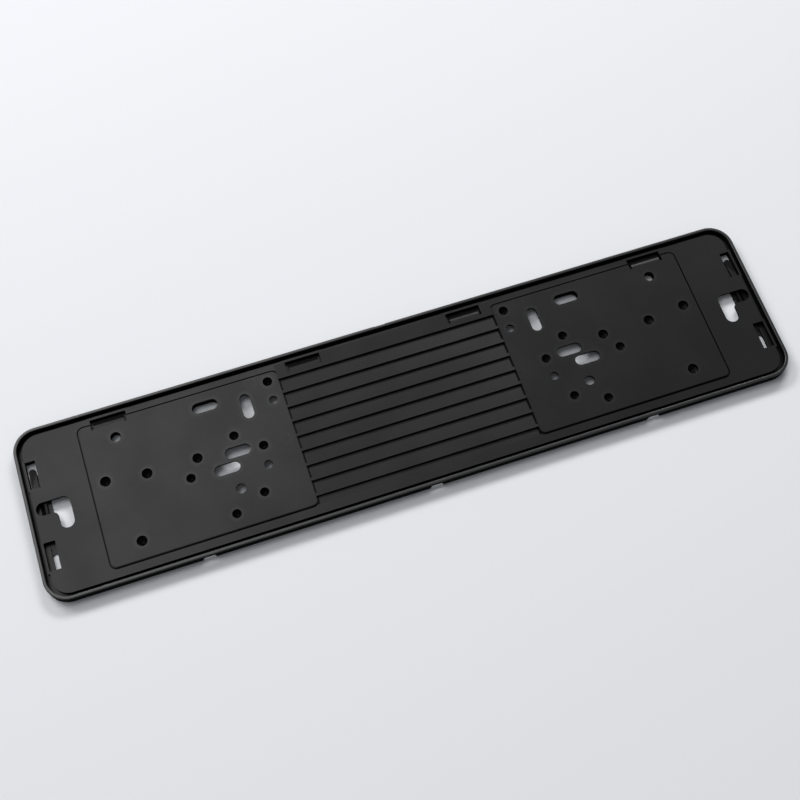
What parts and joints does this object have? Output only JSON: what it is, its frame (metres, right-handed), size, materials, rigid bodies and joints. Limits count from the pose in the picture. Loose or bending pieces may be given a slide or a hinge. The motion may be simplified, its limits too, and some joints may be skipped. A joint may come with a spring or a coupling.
{
  "type": "number plate holder",
  "caption": "Shallow black plastic tray that carries a long number plate, with a grooved rim, raised pads with a drilling pattern, louvred middle, clip windows and L-shaped keyholes.",
  "frame": {"origin": "middle of the back plane, halfway along and across the holder", "axes": "+X along the plate, +Y up the plate, towards the side with the four clip windows, +Z away from the vehicle, out of the seat that the plate lies on"},
  "size_m": [0.53, 0.1244, 0.007],
  "materials": {
    "black_plastic": "satin black moulded plastic with a fine grain"
  },
  "bodies": {
    "root": {"plate_holder": "black_plastic"}
  },
  "joints": []
}
